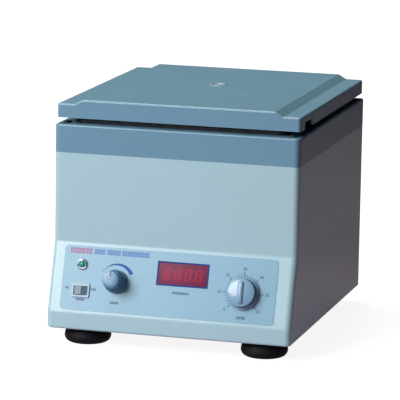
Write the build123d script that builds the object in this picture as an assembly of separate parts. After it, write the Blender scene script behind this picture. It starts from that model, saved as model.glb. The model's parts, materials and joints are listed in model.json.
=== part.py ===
"""Bench-top laboratory centrifuge: steel housing, moulded collar and hinged lid, angle rotor.

Millimetres, +Z up, the front faces -Y and +X is the operator's right.  The origin is the
centre of the footprint on the bench, so z = 0 is where the rubber feet stand.
"""
from build123d import *
import math
import os

# ---- driving dimensions -------------------------------------------------------------------
WIDTH = 300.0                 # housing and collar, left to right
FRONT_Y = -150.0              # upper front face
BACK_Y = 181.0                # outside of the rear panel
SLOPE_OUT = 26.0              # the control panel's foot stands this far in front of the face
FOOT_TOP = 20.5               # underside of the housing above the bench
SKIRT_TOP = 40.5              # lower edge of the sloped control panel
BEND_Z = 122.5                # upper edge of the sloped control panel
COLLAR_Z = 229.0              # joint between the steel housing and the moulded collar
DECK_Z = 262.6                # top of the collar
LID_Z = 269.8                 # lower edge of the lid
LID_FLANGE_Z = 286.5          # top of the lid's two side flanges
LID_TOP_Z = 292.0             # top of the lid's middle

SHEET = 1.5                   # housing steel
WALL = 3.0                    # moulded collar and lid
CORNER = 7.0                  # radius of the upright front corners
EDGE = 3.0                    # radius of the folded bottom and rear edges

AXIS_Y = 30.0                 # the rotor turns about the upright line x = 0, y = AXIS_Y
RUN = 0.05                    # radial running clearance of a turning fit
SEAT = 0.02                   # radial gap of a fixed fit

# ---- helpers ------------------------------------------------------------------------------


def cyl(radius, z0, z1, x=0.0, y=0.0):
    """Upright cylinder between two heights."""
    return Pos(x, y, (z0 + z1) / 2) * Cylinder(radius, z1 - z0)


def ring(outer, inner, z0, z1, x=0.0, y=0.0):
    """Upright tube between two heights."""
    return cyl(outer, z0, z1, x, y) - cyl(inner, z0 - 1, z1 + 1, x, y)


def block(x0, x1, y0, y1, z0, z1):
    """Box between two corners."""
    middle = Pos((x0 + x1) / 2, (y0 + y1) / 2, (z0 + z1) / 2)
    return middle * Box(x1 - x0, y1 - y0, z1 - z0)


def turned(points, x=0.0, y=0.0):
    """Solid of revolution about an upright axis from (radius, height) points."""
    outline = make_face(Polyline(*[(r, 0, z) for r, z in points], close=True))
    return Pos(x, y, 0) * revolve(outline, Axis.Z, 360)


def pan_screw(head, height, shank, length):
    """Pan-head screw pointing down: the head stands on z = 0."""
    crown = Pos(0, 0, height / 2) * Cylinder(head, height)
    crown = fillet(crown.edges().group_by(Axis.Z)[-1], height * 0.45)
    crown -= Pos(0, 0, height) * Box(head * 1.1, 0.8, height * 0.9)
    crown -= Pos(0, 0, height) * Box(0.8, head * 1.1, height * 0.9)
    return crown + Pos(0, 0, -length / 2) * Cylinder(shank, length)


os.makedirs("parts", exist_ok=True)


def save(name, *solids):
    """Write one sub-part; several solids make a group."""
    shape = solids[0] if len(solids) == 1 else Compound(children=list(solids))
    export_step(shape, f"parts/{name}.step")


# The control panel's own frame: origin on the upper bend, x right, y up the slope, z outward.
SLOPE = math.atan2(SLOPE_OUT, BEND_Z - SKIRT_TOP)
PANEL = Plane((0, FRONT_Y, BEND_Z), x_dir=(1, 0, 0),
              z_dir=(0, -math.cos(SLOPE), math.sin(SLOPE))).location


def on_panel(x, down, shape, out=0.0):
    """Place a shape on the sloped panel, so far right and down from the upper bend."""
    return PANEL * Pos(x, -down, out) * shape


# ---- housing shell ------------------------------------------------------------------------


def housing_block(inset, top):
    """Solid block with the housing's outline, drawn in by the inset on every side."""
    lean = inset * math.tan(SLOPE / 2)
    front = FRONT_Y + inset
    outline = [
        (BACK_Y - SHEET - inset, FOOT_TOP + inset), (front - SLOPE_OUT, FOOT_TOP + inset),
        (front - SLOPE_OUT, SKIRT_TOP + lean), (front, BEND_Z + lean),
        (front, top), (BACK_Y - SHEET - inset, top),
    ]
    profile = make_face(Polyline(*[(0, y, z) for y, z in outline], close=True))
    half = WIDTH / 2 - inset
    solid = Pos(-half, 0, 0) * extrude(profile, 2 * half, dir=(1, 0, 0))
    bends = [e for e in solid.edges() if abs(e.center().X) < 1
             and e.center().Y < front + 1 and SKIRT_TOP - 2 < e.center().Z < BEND_Z + 2]
    solid = fillet(bends, 9.0 - inset)
    front_chain = [e for e in solid.edges() if abs(abs(e.center().X) - half) < 0.01
                   and e.center().Y < front + 0.01
                   and FOOT_TOP + inset + 0.1 < e.center().Z < top - 0.1]
    solid = fillet(front_chain, CORNER - inset)
    rear_chain = [e for e in solid.edges().filter_by(Axis.Z)
                  if e.center().Y > BACK_Y - SHEET - inset - 0.01]
    solid = fillet(rear_chain, EDGE - inset)
    return fillet(solid.faces().sort_by(Axis.Z)[0].edges(), EDGE - inset)


LAMP_AT = (-110.5, 27.0)      # pilot lamp on the panel: right of centre, down from the bend
SWITCH_AT = (-109.5, 58.0)
SPEED_AT = (-67.0, 44.5)
DISPLAY_AT = (14.0, 30.3)
TIMER_AT = (89.0, 46.7)
LAMP_HOLE = 5.0
SPEED_BUSH = 3.6
TIMER_BUSH = 4.9
DISPLAY_CUT = (60.0, 25.4)
SWITCH_CUT = (19.4, 13.2)


def panel_cuts(growth):
    """The five holes in the sloped panel, deep enough for the sheet and its overlay."""
    depth = 8.0
    return [
        on_panel(*LAMP_AT, Cylinder(LAMP_HOLE + growth, depth)),
        on_panel(*SWITCH_AT, Box(SWITCH_CUT[0] + growth, SWITCH_CUT[1] + growth, depth)),
        on_panel(*SPEED_AT, Cylinder(SPEED_BUSH + growth, depth)),
        on_panel(*TIMER_AT, Cylinder(TIMER_BUSH + growth, depth)),
        on_panel(*DISPLAY_AT, Box(DISPLAY_CUT[0] + growth, DISPLAY_CUT[1] + growth, depth)),
    ]


POST_X = 139.0                # the four corner posts that carry the collar
POSTS = [(sx * POST_X, y) for sx in (-1, 1) for y in (-135.0, 158.0)]
FLOOR_WINDOW = (133.0, -162.5, 167.0)
REAR_LIP = 16.0
SCREW = 2.0                   # M4
PILOT = 1.5                   # M3

shell = housing_block(0, COLLAR_Z) - housing_block(SHEET, COLLAR_Z + 20)
half_x, low_y, high_y = FLOOR_WINDOW
shell -= block(-half_x, half_x, low_y, high_y, FOOT_TOP - 1, FOOT_TOP + 6)
rear_half = WIDTH / 2 - REAR_LIP
shell -= block(-rear_half, rear_half, BACK_Y - 8, BACK_Y + 1, FOOT_TOP + REAR_LIP, COLLAR_Z + 1)
for cut in panel_cuts(0.2):
    shell -= cut
for x, y in POSTS:
    shell -= cyl(SCREW + 0.2, FOOT_TOP - 1, FOOT_TOP + 4, x, y)

# The rear panel lies on the housing's folded lips and is held by eight small screws.
REAR_SCREWS = [(sx * 141.0, z) for sx in (-1, 1) for z in (34.0, 95.0, 156.0, 217.0)]
for x, z in REAR_SCREWS:
    shell -= Pos(x, BACK_Y - SHEET, z) * Rot(90, 0, 0) * Cylinder(PILOT + 0.1, 8)
save("housing_shell", shell)

# ---- rear panel, mains inlet, fuse and heat sink ------------------------------------------
INLET_AT = (34.0, 58.0)       # x, z of the mains inlet
FUSE_AT = (-12.0, 58.0)
INLET_EARS = 20.0             # half the distance between the inlet's two screws
SINK = (-126.0, -62.0, 62.0, 128.0)   # x from, x to, z from, z to

panel = block(-147, 147, BACK_Y - SHEET, BACK_Y, FOOT_TOP + EDGE + 0.5, COLLAR_Z - 0.2)
panel -= Pos(INLET_AT[0], BACK_Y, INLET_AT[1]) * Box(27.8, 8, 20.4)
panel -= Pos(FUSE_AT[0], BACK_Y, FUSE_AT[1]) * Rot(90, 0, 0) * Cylinder(6.5, 8)
for side in (-1, 1):
    x = INLET_AT[0] + side * INLET_EARS
    panel -= Pos(x, BACK_Y, INLET_AT[1]) * Rot(90, 0, 0) * Cylinder(PILOT + 0.1, 8)
for x, z in REAR_SCREWS:
    panel -= Pos(x, BACK_Y, z) * Rot(90, 0, 0) * Cylinder(PILOT + 0.2, 8)
for column in (-1, 1):
    for row in range(9):
        slot = Rot(90, 0, 0) * extrude(SlotOverall(76, 4.4), 8, both=True)
        panel -= Pos(column * 66, BACK_Y, 148 + row * 8) * slot
save("rear_panel", panel)

inlet_flange = Pos(0, 1.2, 0) * Box(50, 2.4, 22.4)
inlet_flange = fillet(inlet_flange.edges().filter_by(Axis.Y), 5)
inlet_body = Pos(0, -10.5, 0) * Box(27.4, 21, 20.0)
inlet = inlet_flange + inlet_body - Pos(0, -6, 0) * Box(24.4, 17.2, 16.8)
for side in (-1, 1):
    inlet -= Pos(side * INLET_EARS, 0, 0) * Rot(90, 0, 0) * Cylinder(PILOT + 0.2, 12)
blades = [Pos(dx, -13.5, dz) * Box(2, 23, 4) for dx, dz in ((-7, -1), (0, 3), (7, -1))]
for blade in blades:
    inlet -= blade
inlet_place = Pos(INLET_AT[0], BACK_Y, INLET_AT[1])
save("inlet_socket", inlet_place * inlet)
save("inlet_pins", *[inlet_place * blade for blade in blades])

fuse_place = Pos(FUSE_AT[0], BACK_Y, FUSE_AT[1]) * Rot(-90, 0, 0)
fuse_body = Cylinder(8.2, 2, align=(Align.CENTER, Align.CENTER, Align.MIN))
fuse_body += Pos(0, 0, -12) * Cylinder(6.3, 24)
fuse_body -= Pos(0, 0, -8) * Cylinder(4.2, 24)
save("fuse_holder", fuse_place * fuse_body)
fuse_cap = Pos(0, 0, 5.4) * Cylinder(6.4, 6.2)
fuse_cap = fillet(fuse_cap.edges().group_by(Axis.Z)[-1], 1.0)
fuse_cap -= Pos(0, 0, 8.5) * Box(9, 1.4, 3)
fuse_cap += Pos(0, 0, -6.5) * Cylinder(3.2, 18)
save("fuse_cap", fuse_place * fuse_cap)

rear_screw = Rot(-90, 0, 0) * pan_screw(2.9, 1.8, PILOT, 7)
rear_screws = [Pos(x, BACK_Y, z) * rear_screw for x, z in REAR_SCREWS]
rear_screws += [Pos(INLET_AT[0] + side * INLET_EARS, BACK_Y + 2.4, INLET_AT[1]) * rear_screw
                for side in (-1, 1)]
save("rear_screws", *rear_screws)

sink = block(SINK[0], SINK[1], BACK_Y - SHEET - 4, BACK_Y - SHEET, SINK[2], SINK[3])
for index in range(9):
    x = SINK[0] + 2 + index * 7.5
    sink += block(x - 1, x + 1, BACK_Y - SHEET - 26, BACK_Y - SHEET - 3, SINK[2], SINK[3])
save("heat_sink", sink)

# ---- base plate, posts, feet --------------------------------------------------------------
FLOOR_Z = FOOT_TOP + SHEET    # underside of the base plate
PLATE_TOP = FLOOR_Z + 2.0
FRONT_FEET = (109.6, -138.3)  # half their spacing, and where they stand front to back
REAR_FEET = (88.0, 143.3)     # the rear pair stands closer together
FEET = [(sx * x, y) for sx in (-1, 1) for x, y in (FRONT_FEET, REAR_FEET)]
DAMPER_RADIUS = 62.0
DAMPERS = [(DAMPER_RADIUS * math.cos(math.radians(a)), AXIS_Y + DAMPER_RADIUS * math.sin(math.radians(a)))
           for a in (90, 210, 330)]

plate = block(-146.5, 146.5, FRONT_Y - SLOPE_OUT + 4, BACK_Y - SHEET - 4, FLOOR_Z, PLATE_TOP)
plate = fillet(plate.edges().filter_by(Axis.Z), 5)
for x, y in POSTS:
    plate -= cyl(SCREW + 0.2, FLOOR_Z - 1, PLATE_TOP + 1, x, y)
for x, y in FEET:
    plate -= cyl(2.5 + SEAT, FLOOR_Z - 1, PLATE_TOP + 1, x, y)
for ring_radius, count in ((14, 8), (24, 14)):
    for index in range(count):
        turn = 2 * math.pi * index / count
        plate -= cyl(2.6, FLOOR_Z - 1, PLATE_TOP + 1,
                     ring_radius * math.cos(turn), AXIS_Y + ring_radius * math.sin(turn))
save("base_plate", plate)

DECK_UNDER = DECK_Z - WALL
posts = [ring(5, SCREW - 0.05 + SEAT, PLATE_TOP, DECK_UNDER, x, y) for x, y in POSTS]
save("chassis_posts", *posts)

upward = Rot(180, 0, 0) * pan_screw(3.8, 2.3, SCREW - 0.05, 16)
save("base_screws", *[Pos(x, y, FOOT_TOP) * upward for x, y in POSTS])

FOOT_RADIUS = 28.0
foot_outline = make_face(
    Polyline((2.6, 0, FLOOR_Z), (23, 0, FLOOR_Z), (23.6, 0, 17.5))
    + ThreePointArc((23.6, 0, 17.5), (26.6, 0, 13.6), (FOOT_RADIUS, 0, 9))
    + ThreePointArc((FOOT_RADIUS, 0, 9), (26.6, 0, 3.0), (22.5, 0, 0))
    + Polyline((22.5, 0, 0), (18.5, 0, 0), (9, 0, 5), (7.5, 0, 5), (7.5, 0, 11), (2.6, 0, 11),
               (2.6, 0, FLOOR_Z))
)
foot = revolve(foot_outline, Axis.Z, 360)
save("rubber_feet", *[Pos(x, y, 0) * foot for x, y in FEET])
foot_screw = Rot(180, 0, 0) * pan_screw(5.2, 3.2, 2.45, 12.5)
save("foot_screws", *[Pos(x, y, 11) * foot_screw for x, y in FEET])

# ---- collar -------------------------------------------------------------------------------
MOUTH = 106.0                 # radius of the chamber's mouth in the collar
LATCH_Y = -108.0              # the lid's striker drops through the collar here
LATCH_Z = 246.0               # height of the latch bolt


def rounded_block(x0, x1, y0, y1, z0, z1, front_radius, rear_radius):
    """Upright block with its front and rear corners rounded in plan."""
    solid = block(x0, x1, y0, y1, z0, z1)
    upright = solid.edges().filter_by(Axis.Z).group_by(Axis.Y)
    solid = fillet(upright[0], front_radius)
    upright = solid.edges().filter_by(Axis.Z).group_by(Axis.Y)
    return fillet(upright[-1], rear_radius)


half = WIDTH / 2
collar = rounded_block(-half, half, FRONT_Y, BACK_Y, COLLAR_Z, DECK_Z, CORNER, EDGE + 1)
collar = fillet(collar.faces().sort_by(Axis.Z)[-1].edges(), 2.0)
collar -= rounded_block(-half + WALL, half - WALL, FRONT_Y + WALL, BACK_Y - WALL,
                        COLLAR_Z - 1, DECK_UNDER, CORNER - WALL, 1.0)
lip_out = SHEET + 0.3         # the collar's lip drops inside the steel housing
lip_in = lip_out + 2.4
lip = rounded_block(-half + lip_out, half - lip_out, FRONT_Y + lip_out,
                    BACK_Y - SHEET - 2 * lip_out, COLLAR_Z - 8, COLLAR_Z + 6, CORNER - lip_out, 1.0)
lip -= rounded_block(-half + lip_in, half - lip_in, FRONT_Y + lip_in,
                     BACK_Y - SHEET - lip_out - lip_in, COLLAR_Z - 9, COLLAR_Z + 7,
                     CORNER - lip_in, 0.8)
collar += lip & block(-half, half, FRONT_Y, BACK_Y - WALL - 0.4, COLLAR_Z - 10, DECK_Z)
collar -= cyl(MOUTH, DECK_UNDER - 1, DECK_Z + 1, 0, AXIS_Y)
mouth_rim = [e for e in collar.edges().filter_by(GeomType.CIRCLE)
             if abs(e.radius - MOUTH) < 0.01 and abs(e.center().Z - DECK_Z) < 0.01]
collar = fillet(mouth_rim, 1.2)
collar -= block(-3.5, 3.5, LATCH_Y - 12.5, LATCH_Y + 10.5, DECK_UNDER - 1, DECK_Z + 1)
for x, y in POSTS:
    collar -= cyl(SCREW + 0.2, DECK_UNDER - 1, DECK_Z + 1, x, y)
save("top_collar", collar)
deck_screw = pan_screw(3.8, 2.3, SCREW - 0.05, 16)
save("collar_screws", *[Pos(x, y, DECK_Z) * deck_screw for x, y in POSTS])

# ---- chamber ------------------------------------------------------------------------------
BOWL = 108.0                  # inside radius of the stainless bowl
BOWL_FLOOR = 152.0            # underside of the bowl
BARREL = 119.0                # outside radius of the steel guard barrel
BARREL_TOP = 256.0
STEEL = 1.2                   # bowl sheet

bowl_outer = cyl(BOWL + STEEL, BOWL_FLOOR, BARREL_TOP + STEEL, 0, AXIS_Y)
bowl_outer = fillet(bowl_outer.edges().group_by(Axis.Z)[0], 14 + STEEL)
bowl_inner = cyl(BOWL, BOWL_FLOOR + STEEL, BARREL_TOP + 40, 0, AXIS_Y)
bowl_inner = fillet(bowl_inner.edges().group_by(Axis.Z)[0], 14)
bowl = bowl_outer + ring(121, BOWL, BARREL_TOP, BARREL_TOP + STEEL, 0, AXIS_Y) - bowl_inner
bowl -= cyl(20, BOWL_FLOOR - 1, BOWL_FLOOR + 3, 0, AXIS_Y)
save("chamber_bowl", bowl)
save("chamber_gasket", ring(120, MOUTH + 1, BARREL_TOP + STEEL, DECK_UNDER, 0, AXIS_Y))

barrel = ring(BARREL, BARREL - 3, PLATE_TOP, BARREL_TOP, 0, AXIS_Y)
for turn in (0, 60, 120, 180, 240, 300):
    window = fillet(Box(30, 60, 44).edges().filter_by(Axis.X), 8)
    barrel -= Pos(0, AXIS_Y, 0) * Rot(0, 0, turn + 30) * Pos(BARREL, 0, 68) * window
save("guard_barrel", barrel)

boot = turned([(6.8, 141), (18, 141), (18, 147), (19.7, BOWL_FLOOR - 1), (23, BOWL_FLOOR - 1),
               (23, BOWL_FLOOR), (19.7, BOWL_FLOOR), (19.7, BOWL_FLOOR + STEEL),
               (22.5, BOWL_FLOOR + STEEL), (22.5, BOWL_FLOOR + 3), (10, 158), (6.8, 158)], 0, AXIS_Y)
save("shaft_boot", boot)

# ---- motor --------------------------------------------------------------------------------
MOUNT_Z = 44.0                # underside of the motor mounting plate
MOUNT_TOP = 48.0
CAN_Z = 60.0
CAN_TOP = 126.0
MOTOR_TOP = 140.0
MOTOR = 46.0                  # outside radius of the motor

save("damper_mounts", *[cyl(10, PLATE_TOP, MOUNT_Z, x, y) - cyl(2.5, PLATE_TOP - 1, MOUNT_Z + 1, x, y)
                        for x, y in DAMPERS])
mount = cyl(48, MOUNT_Z, MOUNT_TOP, 0, AXIS_Y)
for x, y in DAMPERS:
    turn = math.degrees(math.atan2(y - AXIS_Y, x))
    arm = Pos(0, AXIS_Y, 0) * Rot(0, 0, turn) * block(0, DAMPER_RADIUS, -13, 13, MOUNT_Z, MOUNT_TOP)
    mount += arm + cyl(13, MOUNT_Z, MOUNT_TOP, x, y)
for x, y in DAMPERS:
    mount -= cyl(2.6, MOUNT_Z - 1, MOUNT_TOP + 1, x, y)
mount -= cyl(24, MOUNT_Z - 1, MOUNT_TOP + 1, 0, AXIS_Y)
BOLTS = [(38.5 * math.cos(math.radians(a)), AXIS_Y + 38.5 * math.sin(math.radians(a)))
         for a in (30, 150, 270)]
for x, y in BOLTS:
    mount -= cyl(2.0 + SEAT, MOUNT_Z - 1, MOUNT_TOP + 1, x, y)
save("motor_mount_plate", mount)

lower_cap = cyl(MOTOR, MOUNT_TOP, CAN_Z, 0, AXIS_Y) - cyl(15 + SEAT, MOUNT_TOP + 3, CAN_Z + 1, 0, AXIS_Y)
lower_cap -= cyl(9, MOUNT_TOP - 1, CAN_Z, 0, AXIS_Y)
for index in range(6):
    turn = math.radians(60 * index)
    lower_cap -= cyl(5, MOUNT_TOP - 1, CAN_Z + 1, 25 * math.cos(turn), AXIS_Y + 25 * math.sin(turn))
upper_cap = cyl(MOTOR, CAN_TOP, MOTOR_TOP, 0, AXIS_Y)
upper_cap = fillet(upper_cap.edges().group_by(Axis.Z)[-1], 4)
upper_cap -= cyl(16 + SEAT, CAN_TOP - 1, MOTOR_TOP - 3, 0, AXIS_Y)
upper_cap -= cyl(9, CAN_TOP - 1, MOTOR_TOP + 1, 0, AXIS_Y)
for x, y in BOLTS:
    lower_cap -= cyl(2.0 + SEAT, MOUNT_TOP - 1, CAN_Z + 1, x, y)
    upper_cap -= cyl(2.0 + SEAT, CAN_TOP - 1, MOTOR_TOP + 1, x, y)
save("motor_lower_cap", lower_cap)
save("motor_upper_cap", upper_cap)
save("motor_can", ring(MOTOR, MOTOR - 2.5, CAN_Z, CAN_TOP, 0, AXIS_Y))

long_bolt = pan_screw(3.6, 3.0, 2.0 - SEAT, MOTOR_TOP - MOUNT_Z + 3)
save("motor_bolts", *[Pos(x, y, MOTOR_TOP) * long_bolt for x, y in BOLTS])
save("lower_bearing", ring(15, 5 + RUN, MOUNT_TOP + 3, CAN_Z, 0, AXIS_Y))
save("upper_bearing", ring(16, 6 + RUN, MOTOR_TOP - 13, MOTOR_TOP - 3, 0, AXIS_Y))

stator = ring(MOTOR - 2.5 - SEAT, 24, 72, 114, 0, AXIS_Y)
for x, y in BOLTS:
    stator -= cyl(2.6, 60, 126, x, y)
for index in range(12):
    turn = Pos(0, AXIS_Y, 0) * Rot(0, 0, 15 + 30 * index)
    stator -= turn * block(20, 34, -1.2, 1.2, 60, 126)
save("motor_stator", stator)

shaft = turned([(0, 28), (5, 28), (5, 63), (7, 63), (7, 123), (6, 123), (6, 164), (8, 166),
                (8, 176), (6, 176), (6, 210), (4.95, 210), (4.95, 227), (4.2, 228), (0, 228)],
               0, AXIS_Y)
save("drive_shaft", shaft)
save("motor_armature", ring(23.2, 7 + SEAT, 68, 118, 0, AXIS_Y))

fan = ring(9, 5 + SEAT, 29, 40, 0, AXIS_Y) + ring(29, 8, 38.4, 40, 0, AXIS_Y)
for index in range(8):
    blade = Pos(0, AXIS_Y, 0) * Rot(0, 0, 45 * index) * block(8, 28, -0.8, 0.8, 30, 39)
    fan += blade
save("cooling_fan", fan)
sensor = block(34, 44, AXIS_Y - 6, AXIS_Y + 6, PLATE_TOP, 34) + block(31, 44, AXIS_Y - 3, AXIS_Y + 3, 31, 36)
save("speed_sensor", sensor)

# ---- angle rotor and its nut --------------------------------------------------------------
TILT = 35.0                   # the tubes lean outward at the bottom
TUBE = 8.4                    # radius of a tube hole
TUBE_DEPTH = 60.0
TUBES = 6
MOUTH_RADIUS = 46.0           # the tube mouths' pitch radius, measured on the conical face
HUB_Z = 205.0
rise = math.tan(math.radians(TILT))
rim_z = HUB_Z + (70 - 22) * rise
mouth_z = HUB_Z + (MOUTH_RADIUS - 22) * rise

rotor = turned([(6 + SEAT, 176), (19, 176), (22, 170), (60, 162), (89, 162), (93, 166), (93, 184),
                (80, rim_z - 2), (78, rim_z), (70, rim_z), (22, HUB_Z), (16, HUB_Z), (16, 210),
                (6 + SEAT, 210)], 0, AXIS_Y)
for index in range(TUBES):
    spoke = Pos(0, AXIS_Y, 0) * Rot(0, 0, 360 * index / TUBES) * Pos(MOUTH_RADIUS, 0, mouth_z)
    lean = spoke * Rot(0, -TILT, 0)
    rotor -= lean * Pos(0, 0, 20 - TUBE_DEPTH / 2) * Cylinder(TUBE, TUBE_DEPTH + 40 - TUBE)
    rotor -= lean * Pos(0, 0, TUBE - TUBE_DEPTH) * Sphere(TUBE)
save("angle_rotor", rotor)

nut = turned([(4.95 + RUN, 210.4), (11, 210.4), (11, 214), (9, 215), (9, 228), (7, 232), (3, 233.5),
              (0, 233.5), (0, 229), (4.95 + RUN, 229)], 0, AXIS_Y)
for index in range(10):
    turn = math.radians(36 * index)
    nut -= cyl(1.3, 215.5, 240, 9.8 * math.cos(turn), AXIS_Y + 9.8 * math.sin(turn))
save("rotor_nut", nut)

# ---- lid ----------------------------------------------------------------------------------
LID_HALF = 149.0
LID_FRONT = -143.4
LID_REAR = 176.7
PLATEAU = 118.0               # half the width of the lid's raised middle
SHOULDER = 128.0              # where the slope from the middle meets the side flange
HINGE_Y = 169.5
HINGE_Z = 273.5
PORT_Y = AXIS_Y + 3.0


def lid_block(inset):
    """Hat-shaped solid, extruded front to back and drawn in by the inset."""
    low = LID_Z if inset == 0 else LID_Z - 10
    side = LID_HALF - inset
    outline = [(-side, low), (side, low), (side, LID_FLANGE_Z - inset),
               (SHOULDER - inset * 0.3, LID_FLANGE_Z - inset),
               (PLATEAU - inset * 0.3, LID_TOP_Z - inset),
               (-PLATEAU + inset * 0.3, LID_TOP_Z - inset),
               (-SHOULDER + inset * 0.3, LID_FLANGE_Z - inset), (-side, LID_FLANGE_Z - inset)]
    profile = make_face(Polyline(*[(x, 0, z) for x, z in outline], close=True))
    length = LID_REAR - LID_FRONT - 2 * inset
    return Pos(0, LID_FRONT + inset, 0) * extrude(profile, length, dir=(0, 1, 0))


lid = lid_block(0)
lid = fillet(lid.edges().filter_by(Axis.Z), 4.0)
top_edges = [e for e in lid.edges() if e.center().Z > LID_Z + 5
             and (abs(e.center().X) > LID_HALF - 3 or e.center().Y < LID_FRONT + 3
                  or e.center().Y > LID_REAR - 3)
             and abs(e.tangent_at(0.5).Z) < 0.9]
lid = fillet(top_edges, 2.2)
lid -= lid_block(WALL)
recess = (LID_FRONT + 20, LID_FRONT + 58)     # finger recess in the lower edge at each side
lid -= block(-LID_HALF - 1, LID_HALF + 1, *recess, LID_Z - 1, LID_Z + 8.5)
HINGE_X = 95.0
for side in (-1, 1):
    lid -= block(side * HINGE_X - 9.5, side * HINGE_X + 9.5, LID_REAR - 6, LID_REAR + 1,
                 LID_Z - 1, HINGE_Z + 6.2)
lid -= cyl(9.0, LID_TOP_Z - 6, LID_TOP_Z + 3, 0, PORT_Y)
save("lid_shell", lid)

LINER_HALF = 131.0
LINER_FRONT = -131.0
LINER_REAR = 156.0
LINER_Z = 263.4               # lower edge of the liner's rim
LINER_FLOOR = 267.0
liner = rounded_block(-LINER_HALF, LINER_HALF, LINER_FRONT, LINER_REAR, LINER_Z, 272, 12, 12)
liner -= rounded_block(-LINER_HALF + 2.5, LINER_HALF - 2.5, LINER_FRONT + 2.5, LINER_REAR - 2.5,
                       LINER_Z - 1, LINER_FLOOR, 9.5, 9.5)
liner -= rounded_block(-LINER_HALF + 2.5, LINER_HALF - 2.5, LINER_FRONT + 2.5, LINER_REAR - 2.5,
                       LINER_FLOOR + 2.5, 280, 9.5, 9.5)
for x, y in [(sx * 100, y) for sx in (-1, 1) for y in (-100, 125)]:
    liner += cyl(5, LINER_FLOOR + 2, LID_TOP_Z - WALL, x, y)
liner += cyl(12, LINER_FLOOR + 2, LID_TOP_Z - WALL, 0, PORT_Y)
liner -= cyl(8.0, LINER_FLOOR - 1, LID_TOP_Z, 0, PORT_Y)
save("lid_liner", liner)

SEAL = 116.0
save("lid_seal", ring(SEAL + 3, SEAL - 3, DECK_Z, LINER_FLOOR, 0, AXIS_Y))
window = cyl(7.9, LINER_FLOOR, LID_TOP_Z - WALL, 0, PORT_Y) + cyl(7.0, LID_TOP_Z - 4, LID_TOP_Z - 0.6, 0, PORT_Y)
save("sight_window", window)
port_ring = turned([(7.1, LID_TOP_Z - WALL), (8.9, LID_TOP_Z - WALL), (8.9, LID_TOP_Z),
                    (10.6, LID_TOP_Z), (10.2, LID_TOP_Z + 0.7), (8.2, LID_TOP_Z + 0.9),
                    (7.1, LID_TOP_Z)], 0, PORT_Y)
save("sight_ring", port_ring)

# ---- hinges -------------------------------------------------------------------------------
PIN = 2.0
KNUCKLE = 3.8
lugs, brackets, pin_solids = [], [], []
for side in (-1, 1):
    x = side * HINGE_X
    lug = block(x - 8, x + 8, HINGE_Y - KNUCKLE, HINGE_Y + KNUCKLE, DECK_Z, HINGE_Z)
    lug += Pos(x, HINGE_Y, HINGE_Z) * Rot(0, 90, 0) * Cylinder(KNUCKLE, 16)
    lug += block(x - 12, x + 12, HINGE_Y - 11, HINGE_Y + KNUCKLE, DECK_Z, DECK_Z + 1.2)
    lug -= Pos(x, HINGE_Y, HINGE_Z) * Rot(0, 90, 0) * Cylinder(PIN + RUN, 40)
    lugs.append(lug)
    inner_top = LID_TOP_Z - WALL
    bracket = block(x - 11.8, x + 11.8, HINGE_Y - 14, HINGE_Y + 1, inner_top - 2, inner_top)
    for ear in (-1, 1):
        ear_x = x + ear * 10.2
        bracket += block(ear_x - 1.6, ear_x + 1.6, HINGE_Y - KNUCKLE, HINGE_Y + KNUCKLE - 1, HINGE_Z,
                         inner_top - 1)
        bracket += Pos(ear_x, HINGE_Y, HINGE_Z) * Rot(0, 90, 0) * Cylinder(KNUCKLE, 3.2)
    bracket -= Pos(x, HINGE_Y, HINGE_Z) * Rot(0, 90, 0) * Cylinder(PIN + SEAT, 40)
    brackets.append(bracket)
    pin_solids.append(Pos(x, HINGE_Y, HINGE_Z) * Rot(0, 90, 0) * Cylinder(PIN, 26))
save("hinge_lugs", *lugs)
save("hinge_brackets", *brackets)
save("hinge_pins", *pin_solids)

# ---- latch --------------------------------------------------------------------------------
EYE = 4.4                     # half the square eye that the bolt goes through
striker = block(-1.5, 1.5, LATCH_Y - 8, LATCH_Y + 8, LATCH_Z - 8.5, LINER_FLOOR)
striker = chamfer(striker.edges().filter_by(Axis.X).group_by(Axis.Z)[0], 3)
striker += block(-10, 10, LATCH_Y - 8, LATCH_Y + 8, LINER_FLOOR - 1.6, LINER_FLOOR)
striker -= block(-2, 2, LATCH_Y - EYE, LATCH_Y + EYE, LATCH_Z - EYE, LATCH_Z + EYE)
save("lid_striker", striker)

BOLT = 3.0
solenoid = block(22, 60, LATCH_Y - 11, LATCH_Y + 11, LATCH_Z - 10.5, DECK_UNDER)
solenoid -= Pos(40, LATCH_Y, LATCH_Z) * Rot(0, 90, 0) * Cylinder(BOLT + RUN, 60)
save("latch_solenoid", solenoid)
bolt = Pos(28.75, LATCH_Y, LATCH_Z) * Rot(0, 90, 0) * Cylinder(BOLT, 50.5)
bolt = chamfer(bolt.edges().group_by(Axis.X)[0], 0.8)
bolt += Pos(14, LATCH_Y, LATCH_Z) * Rot(0, 90, 0) * Cylinder(5, 1.6)
save("latch_bolt", bolt)

# ---- control panel ------------------------------------------------------------------------
FILM = 0.4                    # thickness of the printed overlay
overlay = extrude(RectangleRounded(263, 77.5, 5), FILM)
overlay = on_panel(-2.5, 43.2, overlay)
for cut in panel_cuts(0.4):
    overlay -= cut
save("control_overlay", overlay)

filter_plate = Pos(0, 0, -0.7) * Box(DISPLAY_CUT[0] - 0.2, DISPLAY_CUT[1] - 0.2, 1.8)
save("display_window", on_panel(*DISPLAY_AT, filter_plate))
digits = Pos(0, 0, -6.1) * Box(50.3, 19, 9)
digits += Pos(0, 0, -11.4) * Box(66, 30, 1.6)
save("display_module", on_panel(*DISPLAY_AT, digits))

bezel = turned([(4.35, 0), (4.35, 2.2), (5.0, 2.8), (6.2, 2.4), (6.8, 1.2), (6.8, FILM),
                (LAMP_HOLE - 0.1, FILM), (LAMP_HOLE - 0.1, -9), (4.35, -9)])
save("lamp_bezel", on_panel(*LAMP_AT, bezel))
lens = Pos(0, 0, -3) * Cylinder(4.3, 10) + Pos(0, 0, 0.4) * Sphere(4.55)
lens &= Cylinder(4.3, 20)
save("lamp_lens", on_panel(*LAMP_AT, lens))

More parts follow.
